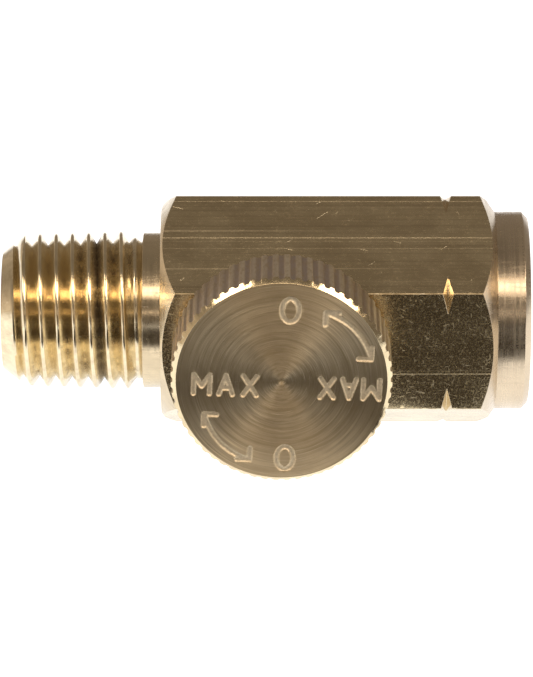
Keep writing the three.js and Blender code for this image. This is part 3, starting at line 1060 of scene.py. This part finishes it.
def marked_brass():
    """The floor and walls of the stamped marks, paler and rougher than the turned face."""
    n = Look("stamped_marks")
    grain = n.noise(4200, rough=0.7)
    colour = n.mix(n.ramp(grain, 0.35, 0.65), (0.62, 0.53, 0.37), (0.8, 0.7, 0.51))
    return n.finish(colour, n.ramp(grain, 0.3, 0.7, 0.5, 0.62), n.bump(grain, 0.02), metallic=0.8)


def knurled_brass():
    """The knurl: rubbed, greyish lands with dull valleys between them; painted light at the left, painted
    shade at the right.
    """
    n = Look("knurled_brass")
    radius, angle = n.about_knob()
    grain = n.noise((3000, 1100, 3000), rough=0.65)
    land = n.ramp(radius, (KNOB_RADIUS - 0.75 * TOOTH_DEPTH) * MM, (KNOB_RADIUS - 0.12 * TOOTH_DEPTH) * MM)
    tooth = n.noise((9, 0, 0), n.combined(angle), detail=1)
    worn = n.mix(n.ramp(tooth, 0.35, 0.65), (0.54, 0.46, 0.37), (0.74, 0.66, 0.50))
    from_spindle = n.math("SUBTRACT", n.separated(n.place)[0], SPINDLE_X * MM)
    # Painted light from the left: there the lands and valleys blend into one even mid tone.
    clear = n.ramp(from_spindle, -5.5 * MM, -2.5 * MM, 0.25, 1.0)
    colour = n.mix(clear, (0.56, 0.48, 0.40), n.mix(land, (0.43, 0.36, 0.31), worn))
    # Painted shade: the knurl is darkened towards the right.
    colour = n.mix(n.ramp(from_spindle, 4.0 * MM, 8.0 * MM, 0.0, 0.5), colour, BRASS_DARK)
    colour = n.mix(n.ramp(grain, 0.45, 0.65, 0.0, 0.6), colour, BRASS_DARK)
    return n.finish(colour, n.ramp(grain, 0.3, 0.7, 0.36, 0.5), n.bump(grain, 0.015))


def bored_brass():
    n = Look("bored_brass")
    marks = n.noise((6000, 150, 6000), n.around_flow()[0])
    colour = n.mix(marks, BRASS_DARK, BRASS_LIGHT)
    return n.finish(colour, n.ramp(marks, 0.3, 0.7, 0.26, 0.36), n.bump(marks, 0.008))


def plug_brass():
    n = Look("plug_brass")
    marks = n.noise((150, 6000, 150))
    colour = n.mix(marks, BRASS_MID, BRASS_LIGHT)
    return n.finish(colour, n.ramp(marks, 0.3, 0.7, 0.18, 0.28), n.bump(marks, 0.004))


def washer_brass():
    """A stamped washer: flat faces with fine rolling lines and small pits."""
    n = Look("stamped_brass")
    rolled = n.noise((5200, 5200, 400), rough=0.6)
    pits = n.ramp(n.noise(2600, detail=2), 0.62, 0.72)
    colour = n.mix(n.ramp(rolled, 0.35, 0.65), BRASS_MID, BRASS_LIGHT)
    colour = n.mix(n.times(pits, 0.5), colour, BRASS_DARK)
    return n.finish(colour, n.ramp(rolled, 0.3, 0.7, 0.2, 0.34), n.bump(rolled, 0.005))


def rubber():
    n = Look("nitrile_rubber")
    grain = n.noise(6000, detail=2)
    colour = n.mix(grain, (0.012, 0.012, 0.013), (0.03, 0.03, 0.031))
    return n.finish(colour, n.ramp(grain, 0.3, 0.7, 0.5, 0.7), n.bump(grain, 0.006), metallic=0.0)


def nylon():
    n = Look("natural_nylon")
    grain = n.noise(2500)
    colour = n.mix(grain, (0.70, 0.67, 0.57), (0.82, 0.80, 0.71))
    return n.finish(colour, n.ramp(grain, 0.3, 0.7, 0.4, 0.55), n.bump(grain, 0.004), metallic=0.0)


def spring_steel():
    """Tumbled spring steel: fine grain with small dark pits."""
    n = Look("spring_steel")
    grain = n.noise((4200, 900, 4200), rough=0.65)
    pits = n.ramp(n.noise(3000, detail=2), 0.62, 0.7)
    colour = n.mix(n.ramp(grain, 0.35, 0.65), (0.42, 0.42, 0.43), (0.58, 0.58, 0.59))
    colour = n.mix(n.times(pits, 0.6), colour, (0.2, 0.19, 0.18))
    return n.finish(colour, n.ramp(grain, 0.3, 0.7, 0.24, 0.38), n.bump(grain, 0.006))


# ---- floor, lights and camera ----

FLOOR_HALF = 6.0
FLOOR_GLOW = 1.05
GLOW_COLOUR = (0.95, 0.99, 1.06)
FLAG_NEAR_Y = -0.0205
FLAG_BELOW_KNOB_Y = -0.0185
FLAG_BESIDE_KNOB_Y = -0.0135
FLAG_TAB_X = KNOB_HIGH.x * MM + 0.0028
FLAG_FAR_Y = -0.5
FLAG_MARGIN = 0.012
FLAG_FAR_MARGIN = 0.07
FLAG_TOP = 0.09
WARM = (1.0, 0.83, 0.67)


def plain_sheet(name, points, faces, colour, glow=0.0):
    """A stage mesh in metres with one plain, matt material."""
    mesh = bpy.data.meshes.new(name)
    mesh.from_pydata(points, [], faces)
    sheet = new_object(name, mesh)
    material = bpy.data.materials.new(name)
    material.use_nodes = True
    settings = {
        "Base Color": (*colour, 1), "Roughness": 1.0, "Specular IOR Level": 0.0,
        "Emission Color": (*GLOW_COLOUR, 1), "Emission Strength": glow,
    }
    for key, value in settings.items():
        material.node_tree.nodes["Principled BSDF"].inputs[key].default_value = value
    mesh.materials.append(material)
    return sheet


def floor():
    """A pale floor that glows a little, as a lit table under an object photographed on white."""
    low = cad_bounds[0][2]
    half = FLOOR_HALF
    points = [(-half, -half, low), (half, -half, low), (half, half, low), (-half, half, low)]
    plain_sheet("floor", points, [(0, 1, 2, 3)], (0.5, 0.5, 0.5), FLOOR_GLOW)


def dark_flag():
    """A dark card in front that only reflections see: it lies on the floor and turns up at its far edge."""
    low = cad_bounds[0][2] + 0.0003
    outline = [
        (-FLAG_MARGIN, FLAG_NEAR_Y), (HEX_START * MM, FLAG_NEAR_Y), (HEX_START * MM, FLAG_BELOW_KNOB_Y),
        (FLAG_TAB_X, FLAG_BELOW_KNOB_Y), (FLAG_TAB_X, FLAG_BESIDE_KNOB_Y), (HEX_END * MM, FLAG_BESIDE_KNOB_Y),
        (HEX_END * MM, FLAG_NEAR_Y), (LENGTH * MM + FLAG_MARGIN, FLAG_NEAR_Y),
        (LENGTH * MM + FLAG_FAR_MARGIN, FLAG_FAR_Y), (-FLAG_FAR_MARGIN, FLAG_FAR_Y),
    ]
    points = [(x, y, low) for x, y in outline]
    points += [(x, y, FLAG_TOP) for x, y in outline[-2:]]
    faces = [tuple(range(len(outline))), (9, 8, 10, 11)]
    flag = plain_sheet("dark_flag", points, faces, (0.05, 0.046, 0.04))
    flag.visible_camera = False
    flag.visible_diffuse = False
    flag.visible_shadow = False


def softbox(name, azimuth, elevation, distance, width, height, radiance, colour=WARM):
    """A rectangular light that faces the valve. Azimuth 0 is in front, and more is to the right."""
    a, e = math.radians(azimuth), math.radians(elevation)
    target = Vector((SPINDLE_X * MM, 0, 0))
    place = target + Vector((math.sin(a) * math.cos(e), -math.cos(a) * math.cos(e), math.sin(e))) * distance
    light = bpy.data.lights.new(name, "AREA")
    light.shape = "RECTANGLE"
    light.size = width
    light.size_y = height
    light.energy = radiance * width * height * math.pi
    light.color = colour
    lamp = new_object(name, light)
    lamp.location = place
    lamp.rotation_euler = (target - place).to_track_quat("-Z", "Y").to_euler()


def lights():
    softbox("front_softbox", 0, 50, 0.6, 0.4, 0.15, 3.7)
    softbox("left_softbox", -57, 47, 0.6, 0.2, 0.25, 7.5)
    softbox("right_softbox", 60, 41, 0.6, 0.22, 0.28, 9.0)
    softbox("low_strip", 0, 19, 0.7, 0.5, 0.03, 2.0)


def world():
    """Dim above, brighter to the back and low at the left, and plain white to the camera."""
    studio = bpy.data.worlds.new("studio")
    bpy.context.scene.world = studio
    studio.use_nodes = True
    n = Nodes(studio.node_tree)
    x, y, z = n.separated(n.add("TexCoord").outputs["Generated"])
    left = n.times(n.ramp(x, -0.3, -0.85, 0.0, 0.6), n.ramp(z, 0.15, 0.5, 1.0, 0.0))
    lit = n.tree.nodes["Background"]
    n.link((*WARM, 1), lit.inputs["Color"])
    n.link(n.total(n.ramp(y, 0.1, 0.9, 0.185, 0.28), left), lit.inputs["Strength"])
    white = n.add("Background")
    n.link((1, 1, 1, 1), white.inputs["Color"])
    mixer = n.add("MixShader")
    n.link(n.add("LightPath").outputs["Is Camera Ray"], mixer.inputs[0])
    n.link(lit.outputs[0], mixer.inputs[1])
    n.link(white.outputs[0], mixer.inputs[2])
    n.link(mixer.outputs[0], n.tree.nodes["World Output"].inputs["Surface"])


CAMERA_ELEVATION = math.radians(23.03)
CAMERA_DISTANCE = 0.393
CAMERA_LENS = 239.3
CAMERA_AIM = (0.02293, 0.00249)  # along the flow axis, and how far below it in the picture's plane


def camera():
    """In front and 23 degrees above, with a long lens, as the valve is seen."""
    up = Vector((0, math.sin(CAMERA_ELEVATION), math.cos(CAMERA_ELEVATION)))
    toward = Vector((0, -math.cos(CAMERA_ELEVATION), math.sin(CAMERA_ELEVATION)))
    target = Vector((CAMERA_AIM[0], 0, 0)) - CAMERA_AIM[1] * up
    data = bpy.data.cameras.new("camera")
    data.sensor_width = 36
    data.lens = CAMERA_LENS
    data.clip_start = 0.01
    data.clip_end = 20
    eye = new_object("camera", data)
    eye.location = target + CAMERA_DISTANCE * toward
    eye.rotation_euler = (-toward).to_track_quat("-Z", "Y").to_euler()
    bpy.context.scene.camera = eye


# ---- the valve ----

def build():
    turned = turned_brass(uneven=0.06, tone=0.3)
    bored = bored_brass()
    collar = turned_brass("collar_brass", polish=0.2, streaks=0.15, uneven=0.09, tone=0.65)
    body = valve_body([drawn_brass(), turned, thread_brass(), collar, bored, edge_brass()])
    knob = knob_spindle([knob_face_brass(), bevel_brass(), knurled_brass(), plug_brass(), marked_brass()])
    black = rubber()
    steel = spring_steel()
    slip = washer("slip_washer", "nylon", BORE_RADIUS + RUNNING_GAP, nylon(), 0.06)
    thrust = washer("thrust_washer", "brass", THRUST_INNER_RADIUS, washer_brass(), 0.08)
    rise = (WAVE_HIGH.y - WAVE_LOW.y - WAVE_THICK) / 2
    wave = washer("wave_washer", "steel", WAVE_INNER_RADIUS, steel, 0.04,
                  lift=lambda angle: rise * math.cos(3 * angle), thick=WAVE_THICK)
    fixed = {
        "valve_body": (body, "body_brass"),
        "slip_washer": (slip, "slip_nylon"),
        "thrust_washer": (thrust, "washer_brass"),
        "wave_washer": (wave, "spring_steel"),
    }
    turning = {
        "knob_spindle": (knob, "knob_brass"),
        "front_o_ring": (o_ring("front_o_ring", black), "seal_rubber"),
        "rear_o_ring": (o_ring("rear_o_ring", black), "seal_rubber"),
        "retaining_clip": (retaining_clip(steel), "spring_steel"),
    }
    for rider, pieces in (("body", fixed), ("knob", turning)):
        for node, (piece, slot) in pieces.items():
            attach(piece, rider)
            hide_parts(node)


build()
floor()
dark_flag()
lights()
world()
camera()
bpy.context.scene.view_settings.view_transform = "Standard"
